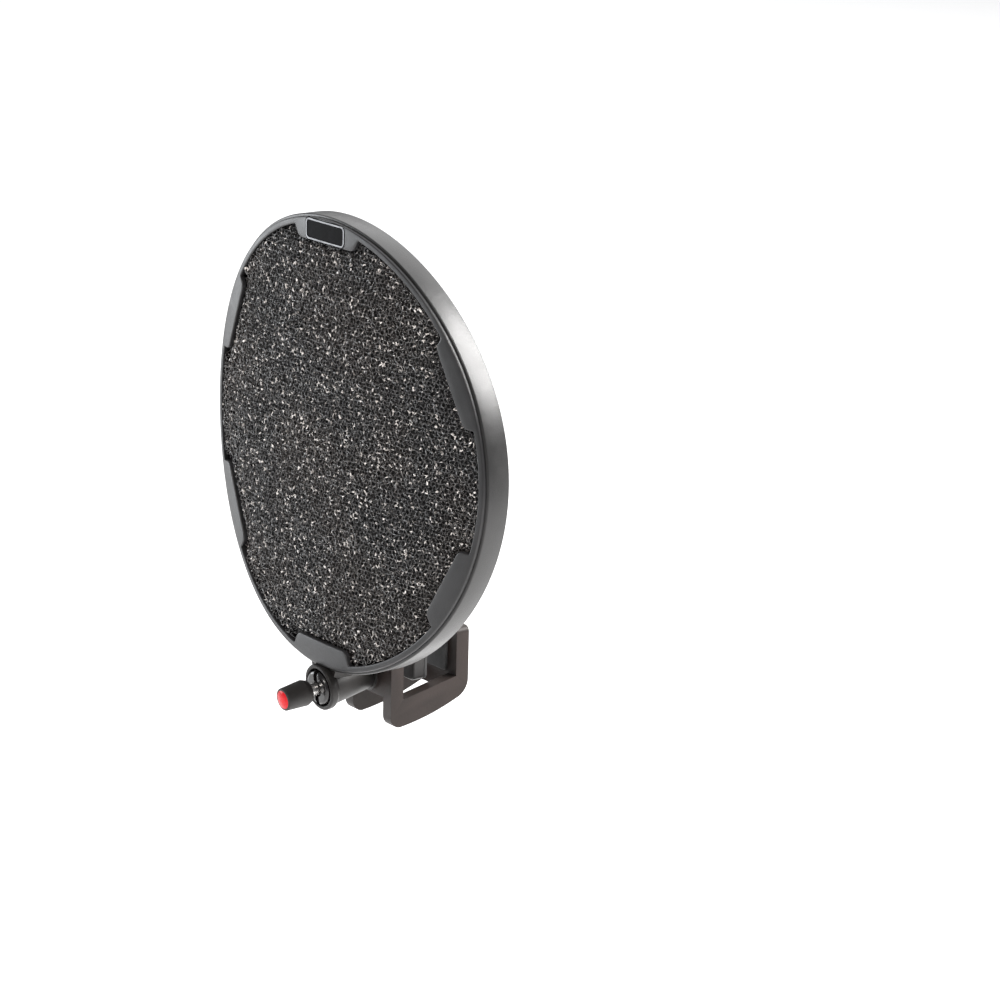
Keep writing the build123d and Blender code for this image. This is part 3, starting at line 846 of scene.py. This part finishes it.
def arc_through(start, middle, end):
    """Points along the arc through three points."""
    (ax, ay), (bx, by), (cx, cy) = start, middle, end
    turn = 2 * (ax * (by - cy) + bx * (cy - ay) + cx * (ay - by))
    a, b, c = ax**2 + ay**2, bx**2 + by**2, cx**2 + cy**2
    centre_x = (a * (by - cy) + b * (cy - ay) + c * (ay - by)) / turn
    centre_y = (a * (cx - bx) + b * (ax - cx) + c * (bx - ax)) / turn
    radius = math.hypot(ax - centre_x, ay - centre_y)
    first = math.atan2(ay - centre_y, ax - centre_x)
    sweep = math.atan2(cy - centre_y, cx - centre_x) - first
    sweep = (sweep + math.pi) % (2 * math.pi) - math.pi
    bearings = [first + sweep * k / ARC_STEPS for k in range(ARC_STEPS + 1)]
    return [(centre_x + radius * math.cos(t), centre_y + radius * math.sin(t)) for t in bearings]


def prism(name, near, far):
    """A closed solid between two matching outlines."""
    count = len(near)
    faces = [list(range(count))[::-1], list(range(count, 2 * count))]
    faces += [[k, (k + 1) % count, count + (k + 1) % count, count + k] for k in range(count)]
    mesh = bpy.data.meshes.new(name)
    mesh.from_pydata(np.concatenate([near, far]).tolist(), [], faces)
    tidy_normals(mesh)
    return placed(name, mesh)


def side_prism(name, outline, low_x, high_x):
    """A solid with an outline of (y, z) points, between two places across, all in millimetres."""
    flat = np.array(outline)
    near, far = [np.column_stack([np.full(len(flat), x), flat]) * MM for x in (low_x, high_x)]
    return prism(name, near, far)


def axis_cylinder(name, radius, start, end):
    """A solid round the rod's axis between two stations, in millimetres."""
    spokes = axis_spokes(CYLINDER_STEPS)
    return prism(name, (start * AXIS + radius * spokes) * MM, (end * AXIS + radius * spokes) * MM)


def block(y_low, y_high, z_low, z_high):
    """Corners of a rectangle seen from the side."""
    return [(y_low, z_low), (y_high, z_low), (y_high, z_high), (y_low, z_high)]


def carved(base, steps):
    """The base's mesh after joining or cutting other solids in turn."""
    for operation, tool in steps:
        cut = base.modifiers.new("step", "BOOLEAN")
        cut.operation = operation
        cut.solver = "EXACT"
        cut.object = tool
    return settled(base, *[tool for _, tool in steps])


def settled(holder, *tools):
    """An object's mesh with its modifiers applied, after which the object and its tools are removed."""
    graph = bpy.context.evaluated_depsgraph_get()
    mesh = bpy.data.meshes.new_from_object(holder.evaluated_get(graph))
    for thing in (holder, *tools):
        bpy.data.objects.remove(thing)
    return mesh


def cheek(side):
    """One of the clip's two cheeks, with its outer top edges rounded."""
    slack = CLIP_CORNER * (1 - math.sqrt(0.5))
    corner_start = (CLIP_FRONT, CLIP_LOW + CLIP_CORNER)
    corner_middle = (CLIP_FRONT + slack, CLIP_LOW + slack)
    corner_end = (CLIP_FRONT + CLIP_CORNER, CLIP_LOW)
    outline = [(CLIP_FRONT, WALL_TOP)]
    outline += arc_through(corner_start, corner_middle, corner_end)
    outline += arc_through(corner_end, BOTTOM_MIDDLE, BOTTOM_END)[1:]
    outline += arc_through(BOTTOM_END, HEEL_MIDDLE, (CLIP_BACK, HEEL_TOP))[1:]
    outline += [
        (CLIP_BACK, JAW_TOP),
        (JAW_FRONT, JAW_TOP),
        (JAW_FRONT, WINDOW_BACK_Z),
        (WALL_BACK, WINDOW_FRONT_Z),
        (WALL_BACK, WALL_TOP),
    ]
    solid = side_prism("cheek", outline, side * CHEEK_INNER, side * CLIP_HALF)
    work = bmesh.new()
    work.from_mesh(solid.data)
    outer = [
        edge for edge in work.edges
        if all(abs(abs(v.co.x) - CLIP_HALF * MM) < NEAR * MM for v in edge.verts)
        and abs(edge.verts[0].co.z - edge.verts[1].co.z) < NEAR * MM
        and edge.verts[0].co.z > (WALL_TOP - NEAR) * MM
    ]
    bmesh.ops.bevel(
        work, geom=outer, offset=CLIP_TOP_CORNER * MM, segments=CLIP_TOP_STEPS, profile=0.5, affect="EDGES"
    )
    work.to_mesh(solid.data)
    work.free()
    return solid


def clip_mesh():
    """The hook clip: two cheeks, its front wall with the boss, and its back jaw."""
    wall = block(CLIP_FRONT, WALL_BACK, WALL_LOW, WALL_TOP)
    jaw = block(JAW_FRONT, CLIP_BACK, JAW_LOW, JAW_TOP)
    base, other = cheek(-1), cheek(1)
    return carved(base, [
        ("UNION", other),
        ("UNION", side_prism("wall", wall, -CHEEK_INNER, CHEEK_INNER)),
        ("UNION", side_prism("jaw", jaw, -CHEEK_INNER, CHEEK_INNER)),
        ("UNION", axis_cylinder("boss", *BOSS)),
        ("DIFFERENCE", axis_cylinder("spot", *SPOT)),
        ("DIFFERENCE", axis_cylinder("bore", *BORE)),
        ("DIFFERENCE", side_prism("recess", block(*PAD_RECESS), -PAD_HALF, PAD_HALF)),
    ])


def softened(node, width, material, body, source=None):
    """A copy of a CAD node, or of a finer shape of it, with rounded edges, standing for it."""
    mesh = bpy.data.meshes.new(node + "_rounded")
    work = bmesh.new()
    work.from_mesh(source or nodes[node].data)
    bmesh.ops.remove_doubles(work, verts=work.verts, dist=COPY_WELD)
    flat = math.radians(FLAT_ANGLE)
    bmesh.ops.dissolve_limit(work, angle_limit=flat, verts=work.verts, edges=work.edges)
    work.to_mesh(mesh)
    work.free()
    holder = placed(node + "_work", mesh)
    bevel = holder.modifiers.new("edges", "BEVEL")
    bevel.width = width
    bevel.segments = BEVEL_SEGMENTS
    bevel.limit_method = "ANGLE"
    bevel.angle_limit = math.radians(BEVEL_ANGLE)
    bevel.miter_outer = "MITER_ARC"
    bevel.use_clamp_overlap = True
    result = settled(holder)
    result.name = node + "_rounded"
    result.shade_smooth()
    crease_edges(result, CREASE)
    return new_piece(node + "_skin", flat_faced(result), material, body, (node,))


def flat_faced(mesh):
    """The same shape, shaded so that its large faces look flat and its rounded edges turn."""
    holder = placed("flat_work", mesh)
    weigh = holder.modifiers.new("normals", "WEIGHTED_NORMAL")
    weigh.keep_sharp = True
    return settled(holder)


def dress(node, material):
    """Gives a CAD node that keeps its own shape a detailed material."""
    mesh = nodes[node].data
    for place in range(len(mesh.materials)):
        mesh.materials[place] = material


# ---------------------------------------------------------------- making

add_camera()
add_world(WORLD_COLOUR, WORLD_STRENGTH)
for box in SOFTBOXES:
    add_softbox(*box)
add_floor()

shell = moulded(
    "shell_plastic_look",
    dark=(0.013, 0.013, 0.0138),
    light=(0.021, 0.0208, 0.022),
    # This much paler edge colour is partly wear and partly a painted highlight along the tabs' inner
    # edges.
    edge_wear_and_highlight=(0.055, 0.055, 0.058),
    roughness=0.36,
    grain=2600.0,
    depth=0.05 * MM,
)
clip_plastic = moulded(
    "clip_plastic_look",
    dark=(0.013, 0.0092, 0.008),
    light=(0.021, 0.015, 0.013),
    edge_wear_and_highlight=(0.023, 0.0165, 0.0145),
    roughness=0.5,
    grain=2400.0,
    depth=0.06 * MM,
    specular=0.24,
)
barrel_plastic = moulded(
    "barrel_plastic_look",
    dark=(0.0085, 0.0076, 0.0072),
    light=(0.0145, 0.013, 0.0122),
    edge_wear_and_highlight=(0.016, 0.0143, 0.0135),
    roughness=0.48,
    grain=2600.0,
    depth=0.05 * MM,
    specular=0.26,
)
rim_plastic = moulded(
    "rim_plastic_look",
    dark=(0.011, 0.0108, 0.0108),
    light=(0.018, 0.0175, 0.0175),
    edge_wear_and_highlight=(0.0185, 0.018, 0.018),
    roughness=0.34,
    grain=2600.0,
    depth=0.05 * MM,
    specular=0.45,
)
foot_plastic = moulded(
    "foot_look",
    dark=(0.014, 0.013, 0.0128),
    light=(0.023, 0.0215, 0.021),
    edge_wear_and_highlight=(0.026, 0.0245, 0.024),
    roughness=0.45,
    grain=2600.0,
    depth=0.05 * MM,
)
badge_metal = turned_metal(
    "badge_metal_look", colour=(0.15, 0.15, 0.155), stain=(0.1, 0.1, 0.105), roughness=0.36, rings=900.0
)
badge_black = glossy(
    "badge_black_look",
    dark=(0.006, 0.006, 0.0065),
    light=(0.011, 0.011, 0.012),
    roughness=0.46,
    ripple=0.02 * MM,
    specular=0.02,
)
adhesive = rubber(
    "adhesive_look",
    dark=(0.02, 0.02, 0.02),
    light=(0.035, 0.035, 0.035),
    roughness=0.7,
    grain=1500.0,
    depth=0.03 * MM,
)
collet_plastic = glossy(
    "collet_look",
    dark=(0.005, 0.0045, 0.0045),
    light=(0.01, 0.009, 0.009),
    roughness=0.14,
    ripple=0.02 * MM,
)
ring_rubber = rubber(
    "ring_look",
    dark=(0.016, 0.016, 0.016),
    light=(0.03, 0.03, 0.03),
    roughness=0.6,
    grain=1500.0,
    depth=0.03 * MM,
)
bearing_plastic = glossy(
    "bearing_look",
    dark=(0.014, 0.0135, 0.013),
    light=(0.026, 0.025, 0.024),
    roughness=0.38,
    ripple=0.02 * MM,
)
rod_steel = turned_metal(
    "rod_look", colour=(0.9, 0.88, 0.86), stain=(0.72, 0.69, 0.67), roughness=0.2, rings=2200.0
)
spring_steel = turned_metal(
    "spring_look", colour=(0.42, 0.42, 0.43), stain=(0.3, 0.3, 0.32), roughness=0.32, rings=1500.0
)
core_metal = turned_metal(
    "core_look", colour=(0.7, 0.7, 0.72), stain=(0.55, 0.55, 0.57), roughness=0.3, rings=1200.0
)
knob_rubber = rubber(
    "knob_look",
    dark=(0.0065, 0.0052, 0.0045),
    light=(0.0125, 0.0098, 0.0086),
    roughness=0.66,
    grain=2300.0,
    depth=0.06 * MM,
)
cap_red = glossy(
    "cap_look",
    dark=(0.5, 0.002, 0.006),
    light=(0.6, 0.004, 0.01),
    roughness=0.12,
    ripple=0.03 * MM,
    specular=0.22,
)
pad_rubber = rubber(
    "pad_look",
    dark=(0.03, 0.03, 0.03),
    light=(0.05, 0.05, 0.05),
    roughness=0.78,
    grain=1300.0,
    depth=0.09 * MM,
)
strands = foam_strands()
depth_look = foam_depth()

front_net = foam_layer(*FRONT_NET)
front_deep = foam_layer(*FRONT_DEEP_NET)
back_net = foam_layer(*BACK_NET)
back_deep = foam_layer(*BACK_DEEP_NET)
foam_web("foam_front_web", front_net, strands)
foam_web("foam_front_deep", front_deep, strands, front_net)
foam_web("foam_back_web", back_net, strands)
foam_web("foam_back_deep", back_deep, strands, back_net)
foam_core(depth_look)

bezel(shell)
rim(rim_plastic)
new_piece("barrel", barrel(), barrel_plastic, "head", ("rim_frame",))
new_piece("saddle", saddle(), barrel_plastic, "head", ("rim_frame",))
softened("clip_body", CLIP_EDGE, clip_plastic, "clip", clip_mesh())
softened("collet", COLLET_EDGE, collet_plastic, "head")
softened("foot_body", FOOT_EDGE, foot_plastic, "foot")
softened("foot_pad", PAD_EDGE, pad_rubber, "foot")
softened("jaw_pad", PAD_EDGE, pad_rubber, "clip")

for node, material in (
    ("badge_frame", badge_metal),
    ("badge_plate", badge_black),
    ("badge_pad", adhesive),
    ("collet_ring", ring_rubber),
    ("rod_bush", bearing_plastic),
    ("swivel_bush", bearing_plastic),
    ("swivel_washer", bearing_plastic),
    ("clamp_rod", rod_steel),
    ("foot_clip", spring_steel),
    ("swivel_ring", spring_steel),
    ("knob_core", core_metal),
    ("knob_sleeve", knob_rubber),
    ("knob_cap", cap_red),
):
    dress(node, material)

bpy.context.scene.view_settings.view_transform = "Standard"
